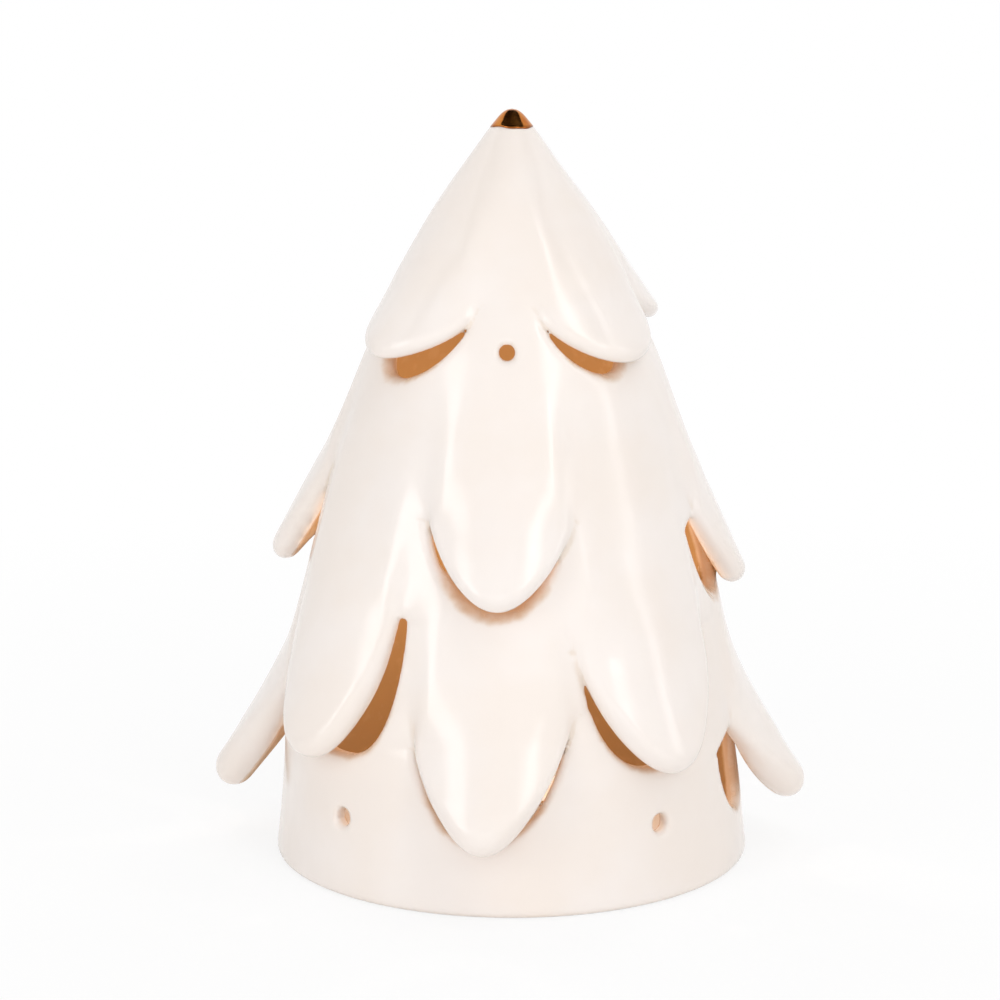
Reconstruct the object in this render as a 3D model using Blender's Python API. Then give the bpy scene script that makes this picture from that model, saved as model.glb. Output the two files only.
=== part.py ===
"""Ceramic christmas tree lantern that stands over a tealight. Metres, +Z up.

The origin is on the table, at the centre of the tree's foot and of the tealight.
Azimuth 0 faces -Y, and azimuths grow towards +X.
"""

from collections import namedtuple
from math import copysign, cos, pi, radians, sin, sqrt, tan

import bmesh
import bpy
import numpy as np

# Gap that neighbouring pieces keep where they touch
CLEARANCE = 0.0003

# Tree body: a drum foot under a cone that bulges outwards
TREE_HEIGHT = 0.185
FOOT_RADIUS = 0.0596
DRUM_RADIUS = 0.0572
DRUM_HEIGHT = 0.030
DRUM_FLARE = 1.6
FOOT_ROUND = 0.0012
WALL = 0.004
# The cone's curve leaves the drum and reaches the tip with these handles and slopes
SHOULDER_HANDLE = 0.060
SHOULDER_SLOPE = 0.13
TIP_HANDLE = 0.045
TIP_SLOPE = 0.75
# The hollow ends in a peak once the wall's inside comes this near the axis
PEAK_RADIUS = 0.0020

# Gold lustre on the tip, a thin cap over the ceramic
GOLD_RADIUS = 0.0054
GOLD_HEIGHT = 0.0044
GOLD_ROUND = 0.62
GOLD_THICKNESS = 0.0006

# Boughs: tongues that grow out of the wall, spring free of it at their root and thicken to the tip
ROOT_THICKNESS = 0.0050
THICKEN_RUN = 0.020
BOUGH_BURIED = 0.0008
RIDGE_BURIED = 0.0018
RIDGE_FADE = 4.0
RIDGE_START = 0.15
SIDE_SPRING = 0.0020
SPRING_RUN = 0.009
BOUGH_SEAT = 0.0034
RIM_SQUARENESS = 2.8
TONGUE_FULLNESS = 2.0
CUT_REACH_IN = 0.014
CUT_REACH_OUT = 0.012
# How far below the tip of the tree the top boughs start, part from the wall and end
TOP_RIDGE_DROP = 0.013
TOP_ROOT_DROP = 0.047
TOP_TIP_DROP = 0.056

# How each bough of a tier differs, as hand-finished ware does: its twist and lean in degrees, how much
# higher its root and its tip are, how much further out it stands, and its cut's own twist and slant
Hand = namedtuple(
    "Hand", "turn root tip out slant lean cut_turn cut_slant cut_wide cut_low", defaults=(0.0,) * 10
)
Tier = namedtuple(
    "Tier",
    "azimuth ridge root tip stand_off half_angle flare taper thick"
    " cut_top cut_bottom cut_angle cut_fullness cut_taper hands",
)
# hands start with the front or front right bough and go on towards +X
TOP_TIER = Tier(
    azimuth=45.0,
    ridge=TREE_HEIGHT - TOP_RIDGE_DROP,
    root=TREE_HEIGHT - TOP_ROOT_DROP,
    tip=TREE_HEIGHT - TOP_TIP_DROP,
    stand_off=0.0070,
    half_angle=32.5,
    flare=1.6,
    taper=2.0,
    thick=0.0048,
    cut_top=-0.0044,
    cut_bottom=-0.0032,
    cut_angle=15.2,
    cut_fullness=2.2,
    cut_taper=2.0,
    hands=(
        Hand(turn=1.0, tip=-0.0020, cut_turn=-13.5, cut_slant=-22.0, cut_wide=1.8, cut_low=0.0010),
        Hand(turn=-15.0, root=0.0015, tip=0.0035, out=0.003, cut_turn=16.5, cut_slant=22.0),
        Hand(turn=-2.0, root=0.0025, tip=0.0035, cut_turn=-16.5, cut_slant=-22.0),
        Hand(
            turn=-6.0, tip=-0.0012, out=0.0015, cut_turn=11.0, cut_slant=22.0, cut_wide=5.0, cut_low=-0.0010
        ),
    ),
)
UPPER_TIER = Tier(
    azimuth=-3.5,
    ridge=0.126,
    root=0.0935,
    tip=0.0728,
    stand_off=0.0100,
    half_angle=20.3,
    flare=1.7,
    taper=1.25,
    thick=0.0070,
    cut_top=0.0,
    cut_bottom=-0.0046,
    cut_angle=20.0,
    cut_fullness=2.4,
    cut_taper=1.4,
    hands=(
        Hand(root=-0.003, cut_turn=-1.0),
        Hand(
            turn=3.5, root=-0.005, tip=-0.0046, out=-0.0008, cut_turn=-8.0, cut_slant=14.0, cut_low=0.0015
        ),
        Hand(turn=1.0, root=0.0005, tip=-0.0005),
        Hand(turn=-8.0, root=0.004, tip=-0.0012, out=0.0037),
    ),
)
LOWER_TIER = Tier(
    azimuth=38.0,
    ridge=0.104,
    root=0.063,
    tip=0.034,
    stand_off=0.0110,
    half_angle=20.8,
    flare=1.6,
    taper=1.5,
    thick=0.0082,
    cut_top=0.0,
    cut_bottom=0.0,
    cut_angle=20.8,
    cut_fullness=2.8,
    cut_taper=1.9,
    hands=(
        Hand(root=-0.002, tip=-0.0012, out=-0.0005, cut_turn=0.8),
        Hand(turn=4.0),
        Hand(turn=14.0, root=0.004, tip=0.0035, cut_turn=2.0),
        Hand(turn=-1.0, root=0.0045, tip=0.0004, out=0.001, lean=5.7, cut_turn=2.2),
    ),
)
FOOT_TIER = Tier(
    azimuth=-4.5,
    ridge=0.080,
    root=0.046,
    tip=0.0155,
    stand_off=0.0185,
    half_angle=18.8,
    flare=2.0,
    taper=1.2,
    thick=0.0098,
    cut_top=0.0,
    cut_bottom=-0.0005,
    cut_angle=18.2,
    cut_fullness=2.4,
    cut_taper=1.35,
    hands=(
        Hand(root=-0.004, tip=0.0028, out=-0.002, slant=12.4),
        Hand(
            turn=7.0, root=-0.010, tip=-0.0034, out=0.0027, cut_turn=-11.0, cut_slant=18.0, cut_low=0.0030
        ),
        Hand(turn=2.0),
        Hand(turn=-7.0, tip=-0.0038, out=0.0060),
    ),
)
TIERS = (TOP_TIER, UPPER_TIER, LOWER_TIER, FOOT_TIER)
BOUGHS_PER_TIER = 4

# Small round holes: the high ones let light and heat out, the low ones let air in
HIGH_HOLE_RADIUS = 0.0020
HIGH_HOLE_HEIGHT = 0.1296
HIGH_HOLE_AZIMUTHS = (-2.0, 88.0, 178.0, 268.0)
LOW_HOLE_RADIUS = 0.0023
LOW_HOLE_HEIGHT = 0.0190
LOW_HOLE_AZIMUTHS = (-44.8, 38.2, 128.0, 206.0)
HOLE_REACH_IN = 0.012
HOLE_REACH_OUT = 0.008

# Tealight
CUP_RADIUS = 0.0190
CUP_DRAFT = 0.0008
CUP_HEIGHT = 0.0160
CUP_WALL = 0.0004
CUP_LIP = 0.0005
CUP_LIP_HEIGHT = 0.0010
WAX_HEIGHT = 0.0125
WICK_RADIUS = 0.0009
WICK_TIP_RADIUS = 0.00054
WICK_TIP_LENGTH = 0.00045
WICK_ABOVE_WAX = 0.0070
SUSTAINER_RADIUS = 0.0062
SUSTAINER_SHEET = 0.0004
SUSTAINER_NECK = 0.0040

# Fineness of the meshes
BODY_SIDES = 48
SMALL_SIDES = 28
HOLE_SIDES = 12
CURVE_STEPS = 10
DRUM_STEPS = 3
CAP_STEPS = 5
RING_POINTS = 14
RIDGE_STEPS = 3
TONGUE_STEPS = 7
LAST_STEP = 0.6
MERGE_DISTANCE = 0.00001
CUT_STEPS = 12

# Colours, roughness and metallic value of each material
GLAZE = ("cream_glaze", (0.905, 0.855, 0.790), 0.12, 0.0)
GOLD = ("gold_lustre", (0.640, 0.270, 0.060), 0.15, 1.0)
ALUMINIUM = ("bright_aluminium", (0.800, 0.800, 0.810), 0.25, 1.0)
WAX = ("white_wax", (0.900, 0.880, 0.830), 0.45, 0.0)
COTTON = ("waxed_cotton", (0.820, 0.780, 0.690), 0.80, 0.0)
TINPLATE = ("tinplate", (0.620, 0.610, 0.590), 0.35, 1.0)

GOLD_EDGE_HEIGHT = TREE_HEIGHT - GOLD_HEIGHT

Bough = namedtuple("Bough", "azimuth ridge root tip stand_off half_angle flare taper thick slant lean")
Cut = namedtuple("Cut", "azimuth top bottom half_angle fullness taper slant lean")


def spaced(low, high, steps):
    """steps + 1 values from low to high."""
    return [low + (high - low) * i / steps for i in range(steps + 1)]


def clear_scene():
    for old in list(bpy.data.objects):
        bpy.data.objects.remove(old, do_unlink=True)


def material(look):
    name, colour, roughness, metallic = look
    made = bpy.data.materials.new(name)
    made.use_nodes = True
    shader = made.node_tree.nodes["Principled BSDF"]
    shader.inputs["Base Color"].default_value = (*colour, 1.0)
    shader.inputs["Roughness"].default_value = roughness
    shader.inputs["Metallic"].default_value = metallic
    return made


def add_object(name, points, edges=(), faces=(), collection=None):
    mesh = bpy.data.meshes.new(name)
    mesh.from_pydata(points, edges, faces)
    made = bpy.data.objects.new(name, mesh)
    (collection or bpy.context.scene.collection).objects.link(made)
    return made


def lathe(name, profile, sides, look):
    """Turns a closed or axis-to-axis (radius, height) profile, given down its outer side."""
    points = [(radius, 0.0, height) for radius, height in profile]
    edges = [(i, i + 1) for i in range(len(points) - 1)]
    if profile[0][0] > 0.0:
        edges.append((len(points) - 1, 0))
    made = add_object(name, points, edges=edges)
    turn = made.modifiers.new("turn", "SCREW")
    turn.steps = sides
    turn.render_steps = sides
    turn.use_merge_vertices = True
    turn.merge_threshold = MERGE_DISTANCE
    turn.use_smooth_shade = True
    made.data.materials.append(material(look))
    return made


def hide_as_guide(guide):
    guide.hide_render = True
    guide.display_type = "WIRE"


def boolean(target, name, operation, collection):
    step = target.modifiers.new(name, "BOOLEAN")
    step.operation = operation
    step.operand_type = "COLLECTION"
    step.collection = collection
    step.solver = "EXACT"


def guide_collection(name):
    made = bpy.data.collections.new(name)
    bpy.context.scene.collection.children.link(made)
    return made


# Tree body


def cone_curve():
    """(radius, height) down the cone, from the gold's edge to the top of the drum."""
    start = np.array((GOLD_RADIUS, GOLD_EDGE_HEIGHT))
    start_handle = start + TIP_HANDLE * np.array((TIP_SLOPE, -1.0))
    end = np.array((DRUM_RADIUS, DRUM_HEIGHT))
    end_handle = end + SHOULDER_HANDLE * np.array((-SHOULDER_SLOPE, 1.0))
    curve = []
    for t in spaced(0.0, 1.0, CURVE_STEPS):
        near = (1 - t) ** 3 * start + 3 * t * (1 - t) ** 2 * start_handle
        far = 3 * t**2 * (1 - t) * end_handle + t**3 * end
        curve.append(tuple(near + far))
    return curve


def drum_curve():
    """(radius, height) down the drum to the start of the foot's rounded edge."""
    flare = FOOT_RADIUS - DRUM_RADIUS
    heights = spaced(DRUM_HEIGHT, FOOT_ROUND, DRUM_STEPS)
    return [(DRUM_RADIUS + flare * (1 - h / DRUM_HEIGHT) ** DRUM_FLARE, h) for h in heights]


def gold_curve(inset=0.0):
    """(radius, height) down the rounded tip, moved in by inset all round."""
    curve = []
    for t in spaced(1.0, 0.0, CAP_STEPS):
        radius = GOLD_RADIUS * (1 - t) ** GOLD_ROUND
        height = GOLD_EDGE_HEIGHT + GOLD_HEIGHT * t - inset * t
        curve.append((max(radius - inset * (1 - t), 0.0), height))
    return curve


OUTSIDE = cone_curve() + drum_curve()[1:]


def core_radius(height):
    """Radius of the body's outside at a height, without its boughs."""
    radii = [r for r, h in reversed(OUTSIDE)]
    heights = [h for r, h in reversed(OUTSIDE)]
    return float(np.interp(height, heights, radii))


def inner_curve():
    """(radius, height) up the inside of the wall, from the foot to the peak of the hollow."""
    rising = OUTSIDE[::-1]
    curve = [(rising[0][0] - WALL, 0.0)]
    for below, here, above in zip(rising, rising[1:], rising[2:]):
        run = np.array((above[0] - below[0], above[1] - below[1]))
        inward = np.array((-run[1], run[0])) / np.linalg.norm(run)
        radius, height = np.array(here) + WALL * inward
        if radius < PEAK_RADIUS:
            break
        curve.append((radius, height))
    last_radius, last_height = curve[-1]
    curve.append((0.0, last_height + last_radius / TIP_SLOPE))
    return curve


def tree_profile():
    under_gold = gold_curve(GOLD_THICKNESS + CLEARANCE)
    ledge = under_gold[-1][0], GOLD_EDGE_HEIGHT - CLEARANCE
    outside = [(core_radius(ledge[1]), ledge[1])] + OUTSIDE[1:]
    foot = [(FOOT_RADIUS - FOOT_ROUND, 0.0)]
    return under_gold[:-1] + [ledge] + outside + foot + inner_curve()


# Boughs and the cuts behind them


def place_bough(tier, i):
    hand = tier.hands[i]
    return Bough(
        azimuth=radians(tier.azimuth + hand.turn + 360.0 * i / BOUGHS_PER_TIER),
        ridge=tier.ridge + hand.root,
        root=tier.root + hand.root,
        tip=tier.tip + hand.tip,
        stand_off=tier.stand_off + hand.out,
        half_angle=radians(tier.half_angle),
        flare=tier.flare,
        taper=tier.taper,
        thick=tier.thick,
        slant=tan(radians(hand.slant)),
        lean=tan(radians(hand.lean)),
    )


def place_cut(tier, i):
    hand = tier.hands[i]
    bough = place_bough(tier, i)
    return Cut(
        azimuth=bough.azimuth + radians(hand.cut_turn),
        top=bough.root + tier.cut_top,
        bottom=bough.tip + tier.cut_bottom + hand.cut_low,
        half_angle=radians(tier.cut_angle + hand.cut_wide),
        fullness=tier.cut_fullness,
        taper=tier.cut_taper,
        slant=bough.slant + tan(radians(hand.cut_slant)),
        lean=bough.lean,
    )


def ease(value):
    """0 below 0, 1 above 1 and a smooth rise between."""
    share = min(max(value, 0.0), 1.0)
    return share * share * (3 - 2 * share)


def core_chord(height, aside):
    """How far out the body's outside lies at a height, to one side of a bough's middle."""
    return sqrt(core_radius(height) ** 2 - aside**2)


def full_width(bough, height):
    """Half width of a bough at a height at or above its root."""
    return core_radius(max(height, bough.root)) * sin(bough.half_angle)


def lift(bough, height):
    """How far a bough's crown stands out from the body."""
    down = (bough.ridge - height) / (bough.ridge - bough.tip)
    return bough.stand_off * down**bough.flare - RIDGE_BURIED * (1 - down) ** RIDGE_FADE


def arch_depth(bough, height):
    """How far a bough's outside falls back from its crown to its full-width sides."""
    level = max(height, bough.root)
    width = full_width(bough, height)
    spring = SIDE_SPRING * ease((bough.root - height) / SPRING_RUN)
    return lift(bough, level) + core_radius(level) - core_chord(level, width) + BOUGH_BURIED - spring


def crown_slope(bough, height):
    """How much further out the crown goes for each metre down."""
    step = CLEARANCE
    above = core_radius(height + step) + lift(bough, height + step)
    below = core_radius(height) + lift(bough, height)
    return (below - above) / step


def outline_width(half_width, share, fullness, taper):
    """Half width at a share of the way from the root, 0, to the tip, 1."""
    return half_width * max(1 - share**taper, 0.0) ** (1 / fullness)


def bough_stations(bough):
    """(height, half width, thickness) of a bough's sections, from its hidden top to its rounded tip."""
    hidden = bough.ridge - RIDGE_START * (bough.ridge - bough.root)
    stations = []
    for height in spaced(hidden, bough.root, RIDGE_STEPS):
        stations.append((height, full_width(bough, height), ROOT_THICKNESS))
    width = full_width(bough, bough.root)
    length = bough.root - bough.tip
    rounding = bough.thick / 2 / sqrt(1 + crown_slope(bough, bough.tip) ** 2)
    for step in spaced(0.0, 1.0, TONGUE_STEPS)[1:]:
        turn = step if step < 1.0 else 1 - (1 - LAST_STEP) / TONGUE_STEPS
        share = sin(turn * pi / 2)
        height = bough.root - length * share
        into_tip = max(bough.tip + rounding - height, 0.0) / rounding
        thickness = ROOT_THICKNESS + (bough.thick - ROOT_THICKNESS) * ease(length * share / THICKEN_RUN)
        half_width = outline_width(width, share, TONGUE_FULLNESS, bough.taper)
        stations.append((height, half_width, thickness * sqrt(1 - into_tip**2)))
    return stations


def rounded(value):
    """cos or sin of a turn, pushed out towards a rounded rectangle's corners."""
    return copysign(abs(value) ** (2 / RIM_SQUARENESS), value)


def bough_section(bough, station):
    """A ring of (out, aside, height) points, square to the bough's middle surface."""
    height, half_width, thickness = station
    slope = crown_slope(bough, height)
    steep = sqrt(1 + slope**2)
    into = ROOT_THICKNESS + (bough.thick - ROOT_THICKNESS) * ease((bough.root - height) / THICKEN_RUN)
    middle = core_radius(height) + lift(bough, height) - into / 2 * steep
    depth = arch_depth(bough, height)
    width = full_width(bough, height)
    ring = []
    for i in range(RING_POINTS):
        turn = 2 * pi * (i + 0.5) / RING_POINTS
        aside = half_width * rounded(sin(turn))
        offset = thickness / 2 * rounded(cos(turn))
        out = middle - depth * (aside / width) ** 2 + offset / steep
        level = height + offset * slope / steep - bough.slant * aside
        seat = core_chord(level, aside) - BOUGH_SEAT
        leaning = aside + bough.lean * max(bough.root - level, 0.0)
        ring.append((max(out, seat), leaning, level))
    return ring


def to_world(azimuth, out, aside, height):
    east = out * sin(azimuth) + aside * cos(azimuth)
    north = aside * sin(azimuth) - out * cos(azimuth)
    return east, north, height


def loft(name, rings, collection):
    """Joins rings of points, each with as many, and closes both ends."""
    count = len(rings[0])
    points = [point for ring in rings for point in ring]
    faces = [tuple(range(count)), tuple(reversed(range(len(points) - count, len(points))))]
    for row in range(len(rings) - 1):
        first = row * count
        for i in range(count):
            j = (i + 1) % count
            faces.append((first + i, first + count + i, first + count + j, first + j))
    made = add_object(name, points, faces=faces, collection=collection)
    shape = bmesh.new()
    shape.from_mesh(made.data)
    bmesh.ops.recalc_face_normals(shape, faces=shape.faces)
    shape.to_mesh(made.data)
    shape.free()
    hide_as_guide(made)
    return made


def add_bough(bough, name, collection):
    rings = []
    for station in bough_stations(bough):
        section = bough_section(bough, station)
        rings.append([to_world(bough.azimuth, *point) for point in section])
    loft(name, rings, collection)


def cut_outline(cut):
    """(aside, height) round the opening behind a bough, from one end of its top to the other."""
    half_width = core_radius(cut.top) * sin(cut.half_angle)
    length = cut.top - cut.bottom
    outline = []
    for turn in spaced(-pi / 2, pi / 2, CUT_STEPS):
        share = cos(turn)
        side = copysign(outline_width(half_width, share, cut.fullness, cut.taper), turn)
        height = cut.top - length * share + cut.slant * side
        outline.append((side + cut.lean * length * share, height))
    return outline


def add_cut(cut, name, collection):
    """A cutter straight through the wall, as long as a knife goes in."""
    deep = core_radius(cut.top) - CUT_REACH_IN
    proud = core_radius(cut.bottom) + CUT_REACH_OUT
    outline = cut_outline(cut)
    rings = [[to_world(cut.azimuth, out, a, h) for a, h in outline] for out in (deep, proud)]
    loft(name, rings, collection)


def add_hole(azimuth, height, radius, name, collection):
    """A round cutter along the body's radius."""
    middle = core_radius(height)
    turns = [2 * pi * i / HOLE_SIDES for i in range(HOLE_SIDES)]
    outline = [(radius * cos(turn), height + radius * sin(turn)) for turn in turns]
    rings = []
    for out in (middle - HOLE_REACH_IN, middle + HOLE_REACH_OUT):
        rings.append([to_world(azimuth, out, a, h) for a, h in outline])
    loft(name, rings, collection)


def add_holes(azimuths, height, radius, name, collection):
    for number, azimuth in enumerate(azimuths, start=1):
        add_hole(radians(azimuth), height, radius, f"{name}_{number}", collection)


def add_tree_shell():
    cuts = guide_collection("cuts")
    boughs = guide_collection("boughs")
    for number, tier in enumerate(TIERS, start=1):
        for i in range(BOUGHS_PER_TIER):
            add_cut(place_cut(tier, i), f"cut_{number}_{i + 1}", cuts)
            add_bough(place_bough(tier, i), f"bough_{number}_{i + 1}", boughs)
    add_holes(HIGH_HOLE_AZIMUTHS, HIGH_HOLE_HEIGHT, HIGH_HOLE_RADIUS, "high_hole", cuts)
    add_holes(LOW_HOLE_AZIMUTHS, LOW_HOLE_HEIGHT, LOW_HOLE_RADIUS, "low_hole", cuts)
    shell = lathe("tree_shell", tree_profile(), BODY_SIDES, GLAZE)
    boolean(shell, "open_cuts_and_holes", "DIFFERENCE", cuts)
    boolean(shell, "grow_boughs", "UNION", boughs)
    return shell


def add_gold_tip():
    outside = gold_curve()
    inside = gold_curve(GOLD_THICKNESS)[::-1]
    return lathe("gold_tip", outside + inside, SMALL_SIDES, GOLD)


# Tealight


def cup_inside(height):
    """Inner radius of the tapered cup at a height."""
    base = CUP_RADIUS - CUP_DRAFT - CUP_WALL
    return base + CUP_DRAFT * height / CUP_HEIGHT


def add_tealight_cup():
    base = CUP_RADIUS - CUP_DRAFT
    profile = [
        (0.0, CUP_WALL),
        (cup_inside(CUP_WALL), CUP_WALL),
        (cup_inside(CUP_HEIGHT), CUP_HEIGHT),
        (CUP_RADIUS + CUP_LIP, CUP_HEIGHT),
        (CUP_RADIUS + CUP_LIP, CUP_HEIGHT - CUP_LIP_HEIGHT),
        (CUP_RADIUS, CUP_HEIGHT - CUP_LIP_HEIGHT),
        (base, CUP_WALL),
        (base - CUP_WALL, 0.0),
        (0.0, 0.0),
    ]
    return lathe("tealight_cup", profile, SMALL_SIDES, ALUMINIUM)


def add_wick_sustainer():
    floor = CUP_WALL + CLEARANCE
    bore = WICK_RADIUS + CLEARANCE
    neck = bore + SUSTAINER_SHEET
    profile = [
        (bore, floor + SUSTAINER_NECK),
        (neck, floor + SUSTAINER_NECK),
        (neck, floor + SUSTAINER_SHEET),
        (SUSTAINER_RADIUS, floor + SUSTAINER_SHEET),
        (SUSTAINER_RADIUS, floor),
        (bore, floor),
    ]
    return lathe("wick_sustainer", profile, SMALL_SIDES, TINPLATE)


def add_tealight_wax():
    floor = CUP_WALL + CLEARANCE
    over_disc = floor + SUSTAINER_SHEET + CLEARANCE
    over_neck = floor + SUSTAINER_NECK + CLEARANCE
    neck = WICK_RADIUS + CLEARANCE + SUSTAINER_SHEET + CLEARANCE
    bore = WICK_RADIUS + CLEARANCE
    profile = [
        (bore, WAX_HEIGHT),
        (cup_inside(WAX_HEIGHT) - CLEARANCE, WAX_HEIGHT),
        (cup_inside(floor) - CLEARANCE, floor),
        (SUSTAINER_RADIUS + CLEARANCE, floor),
        (SUSTAINER_RADIUS + CLEARANCE, over_disc),
        (neck, over_disc),
        (neck, over_neck),
        (bore, over_neck),
    ]
    return lathe("tealight_wax", profile, SMALL_SIDES, WAX)


def add_tealight_wick():
    foot = CUP_WALL + CLEARANCE
    top = WAX_HEIGHT + WICK_ABOVE_WAX
    profile = [
        (0.0, top),
        (WICK_TIP_RADIUS, top),
        (WICK_RADIUS, top - WICK_TIP_LENGTH),
        (WICK_RADIUS, foot),
        (0.0, foot),
    ]
    return lathe("tealight_wick", profile, HOLE_SIDES, COTTON)


def build():
    clear_scene()
    add_tree_shell()
    add_gold_tip()
    add_tealight_cup()
    add_wick_sustainer()
    add_tealight_wax()
    add_tealight_wick()


build()
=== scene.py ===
"""Looks of the ceramic christmas tree lantern and its tealight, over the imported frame."""

from collections import namedtuple
from math import cos, pi, radians, sin, sqrt, tau

import bpy
import numpy as np
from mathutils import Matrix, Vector


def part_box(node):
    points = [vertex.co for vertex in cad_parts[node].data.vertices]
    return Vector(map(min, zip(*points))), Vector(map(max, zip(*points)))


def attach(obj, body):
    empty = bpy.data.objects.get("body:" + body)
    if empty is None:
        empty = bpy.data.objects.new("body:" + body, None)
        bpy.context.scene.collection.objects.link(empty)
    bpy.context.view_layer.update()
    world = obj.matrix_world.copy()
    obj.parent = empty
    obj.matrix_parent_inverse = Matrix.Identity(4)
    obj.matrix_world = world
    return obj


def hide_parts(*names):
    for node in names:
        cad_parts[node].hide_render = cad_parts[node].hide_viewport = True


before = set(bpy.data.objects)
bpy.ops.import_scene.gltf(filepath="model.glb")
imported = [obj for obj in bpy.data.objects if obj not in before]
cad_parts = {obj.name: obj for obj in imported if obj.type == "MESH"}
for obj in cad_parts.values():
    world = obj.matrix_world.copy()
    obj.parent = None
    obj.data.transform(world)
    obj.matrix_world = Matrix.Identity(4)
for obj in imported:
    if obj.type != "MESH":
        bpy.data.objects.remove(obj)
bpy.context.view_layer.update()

MM = 0.001

# Tree body, in millimetres like every size down to the tealight's
FOOT_RADIUS = 59.6
DRUM_RADIUS = 57.2
DRUM_HEIGHT = 30.0
DRUM_FLARE = 1.6
WALL = 4.0
SHOULDER_HANDLE = 60.0
SHOULDER_SLOPE = 0.13
TIP_HANDLE = 45.0
TIP_SLOPE = 0.75
TREE_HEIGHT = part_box("gold_tip")[1][2] / MM
GOLD_RADIUS = 5.4
GOLD_HEIGHT = 4.4
GOLD_TAPER = 0.67
GOLD_SHOULDER = 8
GOLD_FILM = 0.12
GOLD_EDGE = TREE_HEIGHT - GOLD_HEIGHT
# Ceramic under the gold: how much lower it lies, and where and how its top is rounded
GOLD_SEAT = 0.35
CAP_DROP = 0.8
CAP_ROUND = 0.8
# Points on the outline of the body: along the cone, the drum and the tip
CURVE_POINTS = 60
DRUM_POINTS = 16
DOME_POINTS = 30

# Boughs: their sides spring off the wall below the root, and they thicken towards the tip
TONGUE_FULLNESS = 2.0
ROOT_THICKNESS = 5.0
THICKEN_RUN = 20.0
BOUGH_BURIED = 0.8
RIDGE_BURIED = 6.0
BURIED_POWER = 4
PAST_TIP = 1.25
HOLLOW_OVERLAP = 0.3
SIDE_SPRING = 2.7
SPRING_START = 45.0
SPRING_RUN = 50.0
RIM_RUN = 18.0
ROOT_RIM = 2.2
RIDGE_THICKNESS = 9.0
RIDGE_RIM = 4.4
RIDGE_RUN = 9.0
CUT_MARGIN = 0.5
# How far below the tip of the tree the top boughs start, part from the wall and end
TOP_RIDGE_DROP = 13.0
TOP_ROOT_DROP = 47.0
TOP_TIP_DROP = 56.0

# Softness of the clay: fillets where boughs grow out, rounded rims and cut edges
RIDGE_BLEND = 5.5
FREE_BLEND = 1.5
BLEND_RUN = 10.0
CUT_ROUND = 1.9
FOOT_ROUND = 1.6

# A tier has four boughs, each with a slit behind it that the cut_ values are for. Its hands say how
# each bough differs, the front or front right one first, then on towards +X
Hand = namedtuple(
    "Hand",
    "turn root tip out slant lean full cut_turn cut_slant cut_wide cut_low",
    defaults=(0.0,) * 11,
)
Tier = namedtuple(
    "Tier",
    "azimuth ridge root tip stand_off half_angle flare taper thick"
    " cut_top cut_bottom cut_rise cut_angle cut_fullness cut_taper hands",
)
TOP_TIER = Tier(
    azimuth=45.0,
    ridge=TREE_HEIGHT - TOP_RIDGE_DROP,
    root=TREE_HEIGHT - TOP_ROOT_DROP,
    tip=TREE_HEIGHT - TOP_TIP_DROP,
    stand_off=7.0,
    half_angle=32.5,
    flare=1.6,
    taper=2.0,
    thick=4.8,
    cut_top=-4.4,
    cut_bottom=-3.2,
    cut_rise=2.0,
    cut_angle=15.2,
    cut_fullness=2.2,
    cut_taper=2.0,
    hands=(
        Hand(turn=1.0, tip=-2.0, cut_turn=-13.5, cut_slant=-0.40, cut_wide=1.8, cut_low=1.0),
        Hand(turn=-15.0, root=1.5, tip=3.5, out=3.0, cut_turn=16.5, cut_slant=0.40),
        Hand(turn=-2.0, root=2.5, tip=3.5, cut_turn=-16.5, cut_slant=-0.40),
        Hand(turn=-6.0, tip=-1.2, out=1.5, cut_turn=11.0, cut_slant=0.40, cut_wide=5.0, cut_low=-1.0),
    ),
)
UPPER_TIER = Tier(
    azimuth=-3.5,
    ridge=126.0,
    root=93.5,
    tip=72.8,
    stand_off=10.0,
    half_angle=20.3,
    flare=1.7,
    taper=1.25,
    thick=7.0,
    cut_top=0.0,
    cut_bottom=-3.0,
    cut_rise=1.5,
    cut_angle=20.0,
    cut_fullness=2.3,
    cut_taper=1.4,
    hands=(
        Hand(root=-3.0, cut_turn=-1.0),
        Hand(turn=3.5, root=-5.0, tip=-4.6, out=-1.0, cut_turn=-8.0, cut_slant=0.25, cut_low=1.5),
        Hand(turn=1.0, root=0.5, tip=-0.5),
        Hand(turn=-8.0, root=4.0, tip=-1.2, out=3.5),
    ),
)
LOWER_TIER = Tier(
    azimuth=38.0,
    ridge=104.0,
    root=63.0,
    tip=34.0,
    stand_off=11.0,
    half_angle=20.8,
    flare=1.6,
    taper=1.5,
    thick=8.2,
    cut_top=0.0,
    cut_bottom=0.0,
    cut_rise=1.5,
    cut_angle=20.8,
    cut_fullness=2.8,
    cut_taper=1.9,
    hands=(
        Hand(root=-2.0, tip=-1.2, out=-0.5, cut_turn=0.8),
        Hand(turn=4.0),
        Hand(turn=14.0, root=4.0, tip=3.5, cut_turn=2.0),
        Hand(turn=-1.0, root=4.5, tip=0.4, out=1.0, lean=0.1, full=0.5, cut_turn=2.2),
    ),
)
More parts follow.
